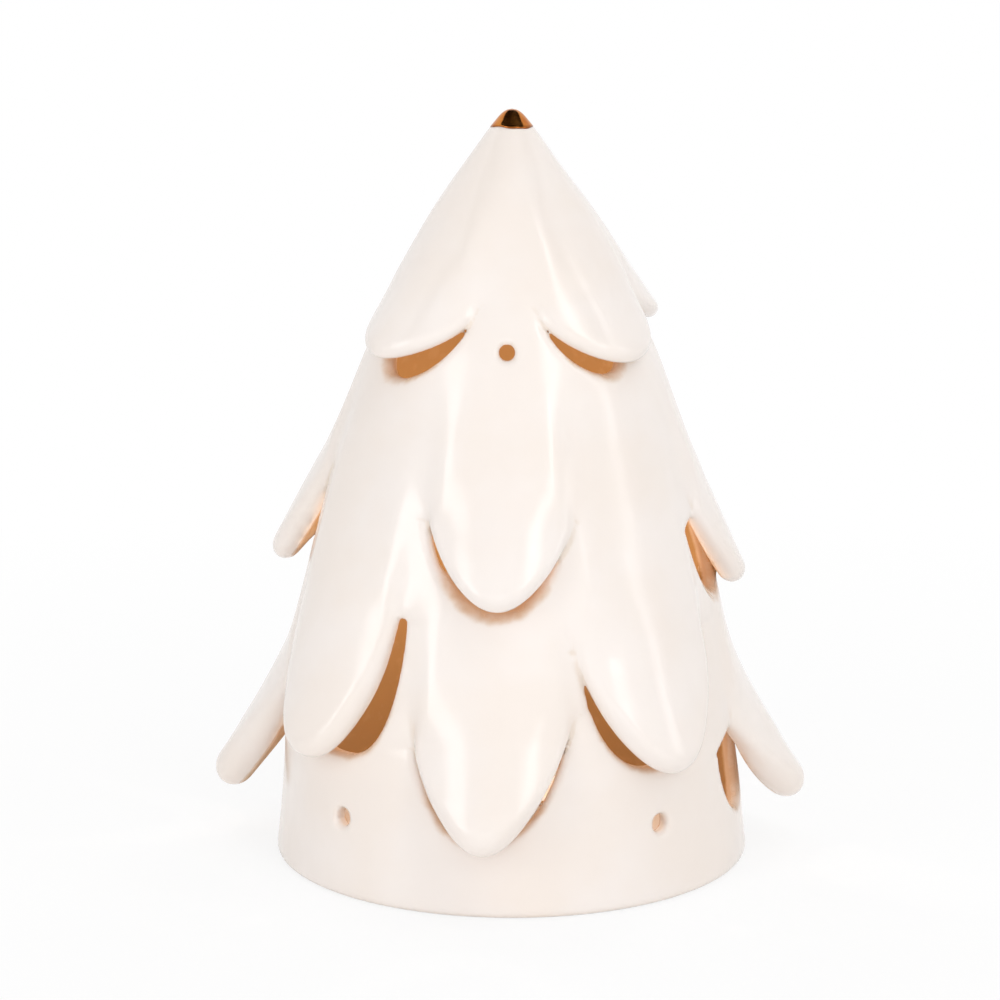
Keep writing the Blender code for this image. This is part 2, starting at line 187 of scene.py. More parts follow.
FOOT_TIER = Tier(
    azimuth=-4.5,
    ridge=80.0,
    root=46.0,
    tip=15.5,
    stand_off=18.5,
    half_angle=18.8,
    flare=2.0,
    taper=1.2,
    thick=9.8,
    cut_top=0.0,
    cut_bottom=-0.5,
    cut_rise=1.5,
    cut_angle=18.2,
    cut_fullness=2.4,
    cut_taper=1.35,
    hands=(
        Hand(root=-4.0, tip=2.8, out=-2.0, slant=0.22, cut_wide=0.8),
        Hand(turn=7.0, root=-10.0, tip=-3.4, out=2.5, cut_turn=-11.0, cut_slant=0.32, cut_low=3.0),
        Hand(turn=2.0, out=-0.2),
        Hand(turn=-7.0, tip=-3.8, out=5.8),
    ),
)
TIERS = (TOP_TIER, UPPER_TIER, LOWER_TIER, FOOT_TIER)
BOUGHS_PER_TIER = 4
Bough = namedtuple(
    "Bough", "azimuth ridge root tip stand_off half_angle flare taper fullness thick slant lean"
)
Cut = namedtuple("Cut", "azimuth top bottom rise half_angle fullness taper slant lean")

# Holes, with the azimuths in degrees
Hole = namedtuple("Hole", "radius height azimuths")
HOLES = (
    Hole(2.0, 129.6, (-2.0, 88.0, 178.0, 268.0)),
    Hole(2.3, 19.0, (-44.8, 38.2, 128.0, 206.0)),
)
HOLE_ROUND = 0.6 * CUT_ROUND

# Unevenness of the hand-finished surface
WAVE_SEED = 11
WAVE_COUNT = 12
WAVE_DEPTH = 0.09
WAVE_LENGTHS = (22.0, 60.0)
WAVE_FADE = 8.0

# Grid that the ceramic's surface is found on
GRID_STEP = 0.8
GRID_REACH = 78.0
GRID_BELOW = 2.4
GRID_ABOVE = 187.2
# Part of the grid that a bough, cut or hole changes: its inner end as a share of the body's radius,
# and a hole's reach as a number of its radii
INNER_SHARE = 0.5
HOLE_REACH = 4
# Slopes are measured over this step, and never taken as flatter than the least values
SLOPE_STEP = 1.0
LEAST_OUTLINE_SLOPE = 0.6
LEAST_SLOPE = 0.2
SMOOTH_FACTOR = 0.5
SMOOTH_ROUNDS = 2

# Marks on the surface that its material reads, each a painted shade: by depth into the wall, under a
# bough, on a slit's lower lip
SHADE_BY_DEPTH = ((1.4, 2.8, 3.3, 3.9), (0.0, 0.5, 0.5, 1.0))
ON_SURFACE = 1.0
UNDER_SHADE = 0.8
UNDER_START = 0.30
UNDER_RUN = 0.22
LIP_SHADE = 0.34
LIP_WIDTH = 2.6
LIP_PROUD = 0.7
LIP_START = 0.35
LIP_RUN = 0.4
GLAZED_HOLE_EDGE = 0.4
GLAZED_HOLE_DEPTH = 3.4
BEND_REACH = 1.2

# Colours
GLAZE_PALE = (0.890, 0.825, 0.782)
GLAZE_WARM = (0.875, 0.796, 0.736)
# Creases: pooled glaze, made darker still as painted shade
POOL_AND_CREASE_SHADE = (0.800, 0.690, 0.590)
# Painted shade: tan on the cut faces, darker tan under the boughs and brown deep inside, where the
# cream glaze lies in shade. The cut tan also tints rims where the glaze runs thin
CUT_SHADE_AND_THIN_GLAZE_TAN = (0.690, 0.500, 0.345)
UNDER_BOUGH_SHADE_TAN = (0.530, 0.340, 0.185)
INSIDE_SHADE_BROWN = (0.410, 0.228, 0.090)
GOLD_BRIGHT = (0.640, 0.250, 0.055)
GOLD_DEEP = (0.520, 0.160, 0.030)
GOLD_EDGE_BROWN = (0.300, 0.090, 0.020)
FOIL_DARK = (0.70, 0.70, 0.71)
FOIL_LIGHT = (0.88, 0.88, 0.89)
WAX_DULL = (0.86, 0.84, 0.78)
WAX_BRIGHT = (0.92, 0.90, 0.86)
COTTON_DARK = (0.66, 0.60, 0.49)
COTTON_PALE = (0.90, 0.86, 0.77)
TIN_DARK = (0.52, 0.51, 0.49)
TIN_LIGHT = (0.70, 0.69, 0.67)
FLOOR_GREY = (0.94, 0.94, 0.94, 1.0)
CARD_BLACK = (0.02, 0.02, 0.02, 1.0)
WHITE = (1.0, 1.0, 1.0, 1.0)

# Glaze: spans of its marks over which one look gives way to the next, and how far it goes
CREASE_BEND = (-0.05, -0.45)
CREASE_POOL_AND_SHADE_SHARE = 0.7
RIM_BEND = (0.45, 0.95)
RIM_THIN = 0.30
RAGGED = 0.06
GLAZE_END = (0.10, 0.45)
# Painted shade colours along the shade mark, from the cut faces to deep inside
SHADE_COLOURS = ((0.0, CUT_SHADE_AND_THIN_GLAZE_TAN), (0.55, CUT_SHADE_AND_THIN_GLAZE_TAN), (0.80, UNDER_BOUGH_SHADE_TAN), (0.97, INSIDE_SHADE_BROWN))
GLOSS_END = (0.2, 0.7)
# Values between which a noise mostly lies, and nearly always lies
NOISE_SPAN = (0.3, 0.7)
WIDE_SPAN = (0.2, 0.8)

# Roughness, from the smoothest to the roughest places
GLAZE_ROUGH = (0.15, 0.60)
GLAZE_DRIFT_ROUGH = 0.05
GOLD_ROUGH = (0.10, 0.22)
FOIL_ROUGH = (0.16, 0.36)
WAX_ROUGH = (0.32, 0.55)
COTTON_ROUGH = (0.55, 0.85)
TIN_ROUGH = (0.25, 0.45)

# Gold tip: its mesh, how deep it goes into the ceramic, and its edge's waves as their height, number
# and start
GOLD_SIDES = 96
GOLD_RINGS = 18
GOLD_CROWDING = 0.8
GOLD_DEPTH = 0.9
GOLD_FILM_RISE = 0.12
GOLD_WAVER = ((0.14, 2, 0.6), (0.12, 3, 2.1), (0.07, 7, 4.0))

# Tealight cup: pairs of radius and height from the middle of its base outwards, and down its inside.
# The wall's and the rim's spans have their first and last place and the number of rings
CUP_BASE = (
    (13.6, 0.55), (14.4, 0.40), (15.0, 0.08), (15.6, 0.0), (17.2, 0.0), (17.9, 0.18), (18.2, 0.55)
)
CUP_INSIDE = ((18.62, 15.5), (18.5, 14.2), (18.2, 10.0), (17.85, 1.6), (17.5, 0.9))
CUP_FOOT_RADIUS = 18.2
CUP_DRAFT = 0.75
CUP_WALL_FROM = 0.2
CUP_WALL_TALL = 15.0
CUP_WALL_SPAN = (0.06, 0.94, 14)
CUP_RIM = (19.0, 15.5)
CUP_RIM_ROUND = 0.48
CUP_RIM_ARC = (-0.5 * pi, 0.75 * pi, 8)
CUP_FLUTES = 44
CUP_FLUTE_POINTS = 6
CUP_FLUTE_DEPTH = 0.22
# Height where the flutes start or end, and the run over which they grow or fade
FLUTES_START = (1.0, 2.0)
FLUTES_END = (14.2, 1.5)

# Wax: its side as pairs of radius and height, its top's rings as first and last radius and number,
# and what rises or dips there: a dip has its depth, its number round the wax and its swirl
WAX_SIDES = 72
WAX_SIDE = ((17.2, 1.2), (17.35, 1.6), (18.2, 12.9))
WAX_TOP = 12.3
WAX_NEAR_WALL = (18.05, 16.2, 7)
WAX_OPEN_TOP = (15.0, 2.4, 14)
WAX_NEAR_WICK = (1.8, 1.4, 1.15)
WAX_RADIUS = 18.2
WAX_BORE = 1.0
CREEP_UP_WALL = 0.75
CREEP_UP_WICK = 0.6
CREEP_RUN = 0.7
WAX_DIPS = ((0.12, 3, 3.0), (0.08, 5, -2.0))
DIP_RUN = 9.0

# Wick: strands that twist round each other and lean above the wax
WICK_FOOT = 1.2
WICK_LENGTH = 18.2
WICK_RINGS = 60
WICK_STRANDS = 3
WICK_PITCH = 3.4
WICK_FREE_FROM = 12.5
WICK_FREE_RUN = 7.0
WICK_LEAN = 1.1
STRAND_SIDES = 10
STRAND_OUT = 0.40
STRAND_RADIUS = 0.44
STRAND_POINT = 14.0
STRAND_THINNEST = 0.05

# Camera, at the photo's place, in metres and its lens in mm
CAMERA_DISTANCE = 0.650
CAMERA_HEIGHT = 0.210
CAMERA_TARGET = (-0.0029, 0.0, 0.0885)
LENS = 95.6
SENSOR_WIDTH = 36.0

# Light: soft boxes in metres, degrees and watts, the room, and the faint glow inside as pairs of a
# height in mm and its watts
SOFTBOX_REACH = 0.95
SOFTBOX_TARGET = (0.0, 0.0, 0.1)
Softbox = namedtuple("Softbox", "name azimuth height wide tall watts mirrored")
SOFTBOXES = (
    Softbox("right_box", 34.0, 1.25, 0.26, 1.90, 5.3, True),
    Softbox("far_right_box", 72.0, 0.70, 0.15, 1.25, 1.25, True),
    Softbox("left_box", -48.0, 0.36, 0.30, 0.70, 1.7, True),
    Softbox("front_box", 2.0, 0.24, 0.60, 0.60, 1.80, False),
    Softbox("back_right_box", 145.0, 0.92, 0.30, 1.25, 2.4, False),
    Softbox("back_left_box", 215.0, 0.92, 0.30, 1.25, 2.4, False),
)
WORLD_LIGHT = 0.53
GLOW_COLOUR = (1.0, 0.88, 0.74)
GLOW_LAMPS = ((56.0, 0.059), (79.0, 0.018), (100.0, 0.0120), (120.0, 0.0070), (142.0, 0.0030))
GLOW_LAMP_RADIUS = 4.0
# Floor, in metres: half its side, and how white it shows at shares of a reach from the middle
FLOOR_HALF = 3.0
FLOOR_WHITE_REACH = 0.5
FLOOR_WHITE_STOPS = ((0.100, 0.0), (0.118, 0.82), (0.30, 0.85), (0.90, 1.0))
# Dark card over the tip, in metres, that only reflections show, as in the gold of the photo
CARD_CORNERS = ((-0.62, -0.33), (0.62, -0.33), (0.20, 0.70), (-0.20, 0.70))
CARD_HEIGHT = 0.785

# Solid shape of the ceramic: each function gives distances in mm, negative inside the clay


def cone_table():
    """Heights and radii of the body's outside, from the foot up to the very tip."""
    t = np.linspace(0.0, 1.0, CURVE_POINTS)[:, None]
    start = np.array((GOLD_RADIUS, GOLD_EDGE))
    start_handle = start + TIP_HANDLE * np.array((TIP_SLOPE, -1.0))
    end = np.array((DRUM_RADIUS, DRUM_HEIGHT))
    end_handle = end + SHOULDER_HANDLE * np.array((-SHOULDER_SLOPE, 1.0))
    curve = (1 - t) ** 3 * start + 3 * t * (1 - t) ** 2 * start_handle
    curve = curve + 3 * t**2 * (1 - t) * end_handle + t**3 * end
    drum = np.linspace(-2 * GRID_BELOW, DRUM_HEIGHT, DRUM_POINTS)[:-1]
    down = np.clip(1 - drum / DRUM_HEIGHT, 0.0, None)
    drum_radius = DRUM_RADIUS + (FOOT_RADIUS - DRUM_RADIUS) * down**DRUM_FLARE
    up = np.linspace(0.0, 1.0, DOME_POINTS)[1:]
    dome_radius = GOLD_RADIUS * (1 - GOLD_TAPER * up) * np.sqrt(1 - up**GOLD_SHOULDER)
    heights = np.concatenate([drum, curve[::-1, 1], GOLD_EDGE + GOLD_HEIGHT * up])
    radii = np.concatenate([drum_radius, curve[::-1, 0], dome_radius])
    return heights, radii


CORE_HEIGHTS, CORE_RADII = cone_table()


def core_radius(height):
    return np.interp(height, CORE_HEIGHTS, CORE_RADII)


def core_steepness(height):
    """Cosine of the body's slope, which turns a level distance into a distance to the wall."""
    slope = (core_radius(height + SLOPE_STEP) - core_radius(height - SLOPE_STEP)) / (2 * SLOPE_STEP)
    return 1.0 / np.sqrt(1.0 + slope**2)


def place_bough(tier, i):
    hand = tier.hands[i]
    return Bough(
        azimuth=radians(tier.azimuth + hand.turn + 360.0 * i / BOUGHS_PER_TIER),
        ridge=tier.ridge + hand.root,
        root=tier.root + hand.root,
        tip=tier.tip + hand.tip,
        stand_off=tier.stand_off + hand.out,
        half_angle=radians(tier.half_angle),
        flare=tier.flare,
        taper=tier.taper,
        fullness=TONGUE_FULLNESS + hand.full,
        thick=tier.thick,
        slant=hand.slant,
        lean=hand.lean,
    )


def place_cut(tier, i):
    hand = tier.hands[i]
    bough = place_bough(tier, i)
    return Cut(
        azimuth=bough.azimuth + radians(hand.cut_turn),
        top=bough.root + tier.cut_top,
        bottom=bough.tip + tier.cut_bottom + hand.cut_low,
        rise=tier.cut_rise,
        half_angle=radians(tier.cut_angle + hand.cut_wide),
        fullness=tier.cut_fullness,
        taper=tier.cut_taper,
        slant=hand.slant + hand.cut_slant,
        lean=hand.lean,
    )


PLACES = [(tier, i) for tier in TIERS for i in range(BOUGHS_PER_TIER)]
BOUGHS = [place_bough(tier, i) for tier, i in PLACES]
CUTS = [place_cut(tier, i) for tier, i in PLACES]


def ease(value):
    """0 below 0, 1 above 1 and a smooth rise between."""
    share = np.clip(value, 0.0, 1.0)
    return share * share * (3.0 - 2.0 * share)


def round_meet(a, b, radius):
    """Where both a and b are inside, with the edge between them rounded off."""
    outer = np.hypot(np.maximum(a + radius, 0.0), np.maximum(b + radius, 0.0))
    return outer + np.minimum(np.maximum(a, b) + radius, 0.0) - radius


def soft_join(a, b, blend):
    """a and b together, with a fillet about blend wide where they meet."""
    near = np.maximum(blend - np.abs(a - b), 0.0) / blend
    return np.minimum(a, b) - near**3 * blend / 6.0


def outline_distance(aside, down, half_width, length, fullness, taper):
    """Signed distance, about, to a tongue's outline. down runs from the root towards the tip."""
    share = np.maximum(down, 0.0) / length
    across = np.abs(aside) / half_width
    size = across**fullness + share**taper
    beside = np.abs(aside) - half_width
    steep_across = fullness * across ** (fullness - 1.0) / half_width
    steep_down = taper * share ** (taper - 1.0) / length
    steep = np.sqrt(steep_across**2 + steep_down**2)
    steep = np.maximum(steep, LEAST_OUTLINE_SLOPE / half_width)
    return np.where(down > 0.0, (size - 1.0) / steep, beside)


def lift(bough, height):
    """How far a bough's crown stands out from the body."""
    down = np.clip((bough.ridge - height) / (bough.ridge - bough.tip), 0.0, PAST_TIP)
    buried = RIDGE_BURIED * np.maximum(1.0 - down, 0.0) ** BURIED_POWER
    return bough.stand_off * down**bough.flare - buried


def crown_radius(bough, height):
    return core_radius(height) + lift(bough, height)


def crown_slope(bough, height):
    """How fast a bough's crown moves out on the way down."""
    below = crown_radius(bough, height - SLOPE_STEP)
    above = crown_radius(bough, height + SLOPE_STEP)
    return (below - above) / (2 * SLOPE_STEP)


def side_depth(bough, height, width):
    """How far a bough's sides lie behind its crown."""
    level = np.maximum(height, bough.root)
    radius = core_radius(level)
    sides = radius - np.sqrt(radius**2 - width**2)
    spring = SIDE_SPRING * ease((bough.root + SPRING_START - height) / SPRING_RUN)
    return lift(bough, level) + sides + BOUGH_BURIED - spring


def thickness_and_rim(bough, height):
    """A bough's thickness at a height, and the radius that its rim is rounded with."""
    below = np.maximum(bough.root - height, 0.0)
    above = ease((height - bough.root) / RIDGE_RUN)
    thickness = ROOT_THICKNESS + (bough.thick - ROOT_THICKNESS) * ease(below / THICKEN_RUN)
    thickness = thickness + (RIDGE_THICKNESS - ROOT_THICKNESS) * above
    rim = ROOT_RIM + (thickness / 2.0 - ROOT_RIM) * ease(below / RIM_RUN)
    return thickness, rim + (RIDGE_RIM - rim) * above


def bough_distance(bough, out, aside, height):
    """Distance to a bough, a curved tongue with a thick tip, and the place across its thickness."""
    aside = aside - bough.lean * np.maximum(bough.root - height, 0.0)
    width = core_radius(np.maximum(height, bough.root)) * sin(bough.half_angle)
    depth = side_depth(bough, height, width)
    outside = crown_radius(bough, height) - depth * (aside / width) ** 2
    slope = crown_slope(bough, height)
    across = 2.0 * depth * aside / width**2
    steep = 1.0 + slope**2 + across**2
    thickness, rim = thickness_and_rim(bough, height)
    middle = outside - thickness / 2.0 * np.sqrt(steep)
    offset = (out - middle) / np.sqrt(steep)
    chord = np.sqrt(np.maximum(core_radius(height) ** 2 - aside**2, 1.0))
    hollow = (chord - WALL + HOLLOW_OVERLAP - out) / np.sqrt(1.0 + slope**2)
    skin = np.maximum(np.abs(offset) - thickness / 2.0, hollow)
    foot_height = height - (out - middle) * slope / steep
    foot_aside = aside - (out - middle) * across / steep
    foot_down = bough.root + bough.slant * foot_aside - foot_height
    length = bough.root - bough.tip
    edge = outline_distance(foot_aside, foot_down, width, length, bough.fullness, bough.taper)
    return round_meet(skin, edge, rim), offset / thickness


def cut_distance(cut, aside, height):
    """Distance to the opening behind a bough: widest at its top line, and rounded above that."""
    aside = aside - cut.lean * np.maximum(cut.top - height, 0.0)
    down = cut.top + cut.slant * aside - height
    half_width = core_radius(cut.top) * sin(cut.half_angle) + CUT_MARGIN
    length = cut.top - cut.bottom
    lower = outline_distance(aside, down, half_width, length, cut.fullness, cut.taper)
    upper = outline_distance(aside, -down, half_width, cut.rise, 2.0, 2.0)
    return np.where(down > 0.0, lower, upper)


def beside_bough(azimuth, x, y):
    """Distances outwards along a bough's azimuth and to its side."""
    out = x * sin(azimuth) - y * cos(azimuth)
    aside = x * cos(azimuth) + y * sin(azimuth)
    return out, aside


def opening_distance(cut, x, y, z):
    """Distance to a cut's edge, laid round the wall, and how far out the point is."""
    out, aside = beside_bough(cut.azimuth, x, y)
    on_wall = aside * core_radius(z) / np.maximum(np.hypot(out, aside), WALL)
    return cut_distance(cut, on_wall, z), out


def wall_distance(radius, height):
    """Distance to the body's wall without boughs, slits or holes."""
    outside = (radius - core_radius(height)) * core_steepness(height)
    wall = np.maximum(outside, -(outside + WALL))
    wall = round_meet(wall, height - (TREE_HEIGHT - CAP_DROP), CAP_ROUND)
    return round_meet(wall, -height, FOOT_ROUND)


class Grid:
    """Points of a box, GRID_STEP apart, with a distance at each."""

    def __init__(self):
        self.x = np.arange(-GRID_REACH, GRID_REACH + GRID_STEP, GRID_STEP)
        self.z = np.arange(-GRID_BELOW, GRID_ABOVE + GRID_STEP, GRID_STEP)
        self.origin = np.array((self.x[0], self.x[0], self.z[0]))
        self.value = None

    def part(self, low, high):
        """Index slices of the points between two corners."""
        spans = []
        for axis, near, far in zip((self.x, self.x, self.z), low, high):
            spans.append(slice(np.searchsorted(axis, near), np.searchsorted(axis, far)))
        return tuple(spans)

    def points(self, spans):
        x, y, z = self.x[spans[0]], self.x[spans[1]], self.z[spans[2]]
        return np.meshgrid(x, y, z, indexing="ij", sparse=True)


def box_around(grid, azimuth, reach_out, reach_aside, low, high):
    """The part of the grid around a stretch of the wall that faces an azimuth."""
    corners = []
    for out in reach_out:
        for aside in (-reach_aside, reach_aside):
            east = out * sin(azimuth) + aside * cos(azimuth)
            north = aside * sin(azimuth) - out * cos(azimuth)
            corners.append((east, north))
    corners = np.array(corners)
    return grid.part((*corners.min(axis=0), low), (*corners.max(axis=0), high))


def bough_box(grid, bough):
    """The part of the grid that a bough and its fillets lie in."""
    inner = core_radius(bough.ridge) * INNER_SHARE
    outer = core_radius(bough.tip) + bough.stand_off + RIDGE_BLEND
    aside = core_radius(bough.root) * sin(bough.half_angle) + RIDGE_BLEND
    low, high = bough.tip - RIDGE_BLEND, bough.ridge + RIDGE_BLEND
    return box_around(grid, bough.azimuth, (inner, outer), aside, low, high)


def cut_box(grid, cut):
    """The part of the grid that a cut through the wall lies in."""
    inner = core_radius(cut.top) * INNER_SHARE
    outer = core_radius(cut.bottom) + RIDGE_BLEND
    aside = core_radius(cut.top) * sin(cut.half_angle) + RIDGE_BLEND
    margin = RIDGE_BLEND + abs(cut.slant) * aside
    return box_around(grid, cut.azimuth, (inner, outer), aside, cut.bottom - margin, cut.top + margin)


def open_cuts(grid):
    for cut in CUTS:
        spans = cut_box(grid, cut)
        edge, out = opening_distance(cut, *grid.points(spans))
        grid.value[spans] = round_meet(grid.value[spans], -np.maximum(edge, -out), CUT_ROUND)


def grow_boughs(grid):
    for bough in BOUGHS:
        spans = bough_box(grid, bough)
        x, y, z = grid.points(spans)
        tongue, _ = bough_distance(bough, *beside_bough(bough.azimuth, x, y), z)
        fillet = ease((z - bough.root) / BLEND_RUN) * ease((bough.ridge - z) / RIDGE_BLEND + 1.0)
        blend = FREE_BLEND + (RIDGE_BLEND - FREE_BLEND) * fillet
        grid.value[spans] = soft_join(grid.value[spans], tongue, blend)


def cut_holes(grid, hole):
    reach = HOLE_REACH * hole.radius
    for azimuth in map(radians, hole.azimuths):
        middle = np.array((sin(azimuth), -cos(azimuth))) * core_radius(hole.height)
        middle = np.array((*middle, hole.height))
        spans = grid.part(middle - reach, middle + reach)
        x, y, z = grid.points(spans)
        out, aside = beside_bough(azimuth, x, y)
        across = np.hypot(aside, z - hole.height) - hole.radius
        grid.value[spans] = round_meet(grid.value[spans], -np.maximum(across, -out), HOLE_ROUND)


def waviness(x, y, z):
    """Slow, shallow unevenness of a surface finished by hand."""
    draw = np.random.default_rng(WAVE_SEED)
    total = np.float32(0.0)
    for _ in range(WAVE_COUNT):
        along = draw.normal(size=3)
        along *= tau / draw.uniform(*WAVE_LENGTHS) / np.linalg.norm(along)
        start = draw.uniform(0.0, tau)
        phase = (along[0] * x).astype(np.float32) + along[1] * y + (along[2] * z + start)
        total = total + np.sin(phase.astype(np.float32))
    fade = ease(z / WAVE_FADE) * ease((GOLD_EDGE - z) / WAVE_FADE)
    return total * fade.astype(np.float32) * WAVE_DEPTH / sqrt(WAVE_COUNT / 2)


def shape_ceramic():
    grid = Grid()
    x, y, z = grid.points((slice(None), slice(None), slice(None)))
    grid.value = wall_distance(np.hypot(x, y), z).astype(np.float32)
    open_cuts(grid)
    grow_boughs(grid)
    for hole in HOLES:
        cut_holes(grid, hole)
    grid.value += waviness(x, y, z)
    grid.value += GOLD_SEAT * ease((z - GOLD_EDGE) / GOLD_SEAT).astype(np.float32)
    return grid


# Mesh around the shape

CELL_CORNERS = [(i, j, k) for i in (0, 1) for j in (0, 1) for k in (0, 1)]
SIDE_CORNERS = ((0, 0), (0, 1), (1, 0), (1, 1))
AROUND_EDGE = ((0, 0), (1, 0), (1, 1), (0, 1))


def crossed_cells(inside):
    """The cells that the surface crosses, and the number of each in a grid of all the cells."""
    count = sum(
        inside[i : i - 1 or None, j : j - 1 or None, k : k - 1 or None].astype(np.int8)
        for i, j, k in CELL_CORNERS
    )
    cells = np.argwhere((count > 0) & (count < len(CELL_CORNERS)))
    number = np.full(count.shape, -1, dtype=np.int64)
    number[tuple(cells.T)] = np.arange(len(cells))
    return cells, number


def cell_points(value, cells):
    """For each cell the middle of the places where the surface crosses its edges."""
    total = np.zeros((len(cells), 3))
    crossings = np.zeros(len(cells))
    for axis in range(3):
        step = np.eye(3, dtype=int)[axis]
        first, second = (i for i in range(3) if i != axis)
        for a, b in SIDE_CORNERS:
            start = np.zeros(3, dtype=int)
            start[first], start[second] = a, b
            near = value[tuple((cells + start).T)].astype(float)
            far = value[tuple((cells + start + step).T)].astype(float)
            crossed = (near < 0) != (far < 0)
            share = np.where(crossed, near / np.where(crossed, near - far, 1.0), 0.0)
            total += crossed[:, None] * (start + share[:, None] * step)
            crossings += crossed
    return cells + total / crossings[:, None]


def net_quads(inside, number):
    """A quad for each edge of the grid that the surface crosses, from the four cells around it."""
    quads = []
    for axis in range(3):
        first, second = ((axis + 1) % 3, (axis + 2) % 3)
        shape = [slice(1, -1)] * 3
        shape[axis] = slice(0, -1)
        ahead = list(shape)
        ahead[axis] = slice(1, None)
        near, far = inside[tuple(shape)], inside[tuple(ahead)]
        edges = np.argwhere(near != far)
        flip = near[tuple(edges.T)]
        corner = edges.copy()
        corner[:, [first, second]] += 1
        around = []
        for a, b in AROUND_EDGE:
            cell = corner.copy()
            cell[:, first] -= a
            cell[:, second] -= b
            around.append(number[tuple(cell.T)])
        quad = np.stack(around, axis=1)
        quad[~flip] = quad[~flip][:, ::-1]
        quads.append(quad)
    return np.concatenate(quads)


def surface_net(grid):
    """Quads around the zero surface of the grid, with a point in each cell that it crosses."""
    inside = grid.value < 0
    cells, number = crossed_cells(inside)
    points = cell_points(grid.value, cells)
    return grid.origin + points * GRID_STEP, net_quads(inside, number)


def grid_value(grid, points):
    """Distance at any points, read between the grid's own."""
    place = (points - grid.origin) / GRID_STEP
    cell = np.clip(np.floor(place).astype(int), 0, np.array(grid.value.shape) - 2)
    part = place - cell
    total = np.zeros(len(points))
    for corner in CELL_CORNERS:
        share = np.where(corner, part, 1 - part)
        weight = share[:, 0] * share[:, 1] * share[:, 2]
        total += weight * grid.value[tuple((cell + corner).T)]
    return total


def pull_to_surface(grid, points):
    """Moves points along the slope of the distance onto the surface itself."""
    reach = GRID_STEP / 2
    slope = np.zeros_like(points)
    for axis in range(3):
        step = np.zeros(3)
        step[axis] = reach
        rise = grid_value(grid, points + step) - grid_value(grid, points - step)
        slope[:, axis] = rise / (2 * reach)
    steep = np.maximum((slope**2).sum(axis=1), LEAST_SLOPE)
    return points - slope * (grid_value(grid, points) / steep)[:, None]


# Marks on the surface


def under_bough_shade(bough, x, y, z):
    """Painted shade on the inner side of a bough, which faces the wall."""
    out, aside = beside_bough(bough.azimuth, x, y)
    distance, across = bough_distance(bough, out, aside, z)
    on_bough = (np.abs(distance) < ON_SURFACE) & (out > 0.0) & (z > bough.tip - bough.thick)
    return np.where(on_bough, UNDER_SHADE * ease((-across - UNDER_START) / UNDER_RUN), 0.0)


def lip_shade(cut, x, y, z):
    """Painted shade over the lower lip of a slit."""
    past_edge, out = opening_distance(cut, x, y, z)
    low = ease(((cut.top - z) / (cut.top - cut.bottom) - LIP_START) / LIP_RUN)
    return np.where(out > 0.0, LIP_SHADE * low * (1.0 - ease(past_edge / LIP_WIDTH)), 0.0)


def painted_shade_marks(points):
    """Painted shade: 0 on the glazed outside, a half on the cut faces of the wall and 1 deep inside,
    where the cream glaze lies in shade.
    """
    x, y, z = points.T
    deep = (core_radius(z) - np.hypot(x, y)) * core_steepness(z)
    painted_shade = np.interp(deep, *SHADE_BY_DEPTH)
    for bough, cut in zip(BOUGHS, CUTS):
        painted_shade = np.maximum(painted_shade, under_bough_shade(bough, x, y, z))
        painted_shade = np.maximum(painted_shade, np.where(deep > -LIP_PROUD, lip_shade(cut, x, y, z), 0.0))
    # The first part of each low hole's wall keeps the glaze colour, with no painted shade
    low_hole = HOLES[-1]
    for azimuth in map(radians, low_hole.azimuths):
        out, aside = beside_bough(azimuth, x, y)
        near = np.hypot(aside, z - low_hole.height) < low_hole.radius + GLAZED_HOLE_EDGE
        painted_shade = np.where(near & (out > 0.0) & (deep < GLAZED_HOLE_DEPTH), 0.0, painted_shade)
    return painted_shade


def sharpness(grid, points):
    """How the surface bends, from six points around: above 0 on rims and below 0 in creases."""
    bend = -6.0 * grid_value(grid, points)
    for axis in range(3):
        step = np.zeros(3)
        step[axis] = BEND_REACH
        bend += grid_value(grid, points + step) + grid_value(grid, points - step)
    return np.clip(bend / BEND_REACH**2, -1.0, 1.0)


# Pieces: each gets its material and stands for a node of the frame


def scene_object(name, data):
    made = bpy.data.objects.new(name, data)
    bpy.context.scene.collection.objects.link(made)
    return made


def mesh_object(name, points, faces):
    mesh = bpy.data.meshes.new(name)
    mesh.from_pydata(points, (), faces)
    for polygon in mesh.polygons:
        polygon.use_smooth = True
    return scene_object(name, mesh)


def mark(piece, name, values):
    """Stores a number for each point, which the piece's material reads."""
    layer = piece.data.attributes.new(name, "FLOAT", "POINT")
    layer.data.foreach_set("value", np.asarray(values, np.float32))


def dress(piece, look, node, body):
    """Gives a piece its material, and makes it stand for a node of the frame."""
    piece.data.materials.append(look)
    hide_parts(node)
    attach(piece, body)


def add_ceramic():
    grid = shape_ceramic()
    points, quads = surface_net(grid)
    points = pull_to_surface(grid, points)
    tree = mesh_object("glazed_tree", points * MM, quads)
    # Painted shade mark: in the cuts, on the slits' lower lips, under the boughs and inside
    mark(tree, "painted_shade", painted_shade_marks(points))
    mark(tree, "bend", sharpness(grid, points))
    smooth = tree.modifiers.new("soften", "SMOOTH")
    smooth.factor = SMOOTH_FACTOR
    smooth.iterations = SMOOTH_ROUNDS
    dress(tree, glaze_look(), "tree_shell", "tree")


def turned(rings):
    """Points and faces of rings round the z axis, from the first ring up, closed at both ends."""
    sides = len(rings[0])
    points = np.concatenate(rings)
    ends = [rings[0].mean(axis=0), rings[-1].mean(axis=0)]
    faces = []
    for row in range(len(rings) - 1):
        for i in range(sides):
            j = (i + 1) % sides
            a, b = row * sides, (row + 1) * sides
            faces.append((a + i, a + j, b + j, b + i))
    last = len(points) - sides
    for i in range(sides):
        j = (i + 1) % sides
        faces.append((j, i, len(points)))
        faces.append((last + i, last + j, len(points) + 1))
    return np.concatenate([points, ends]), faces


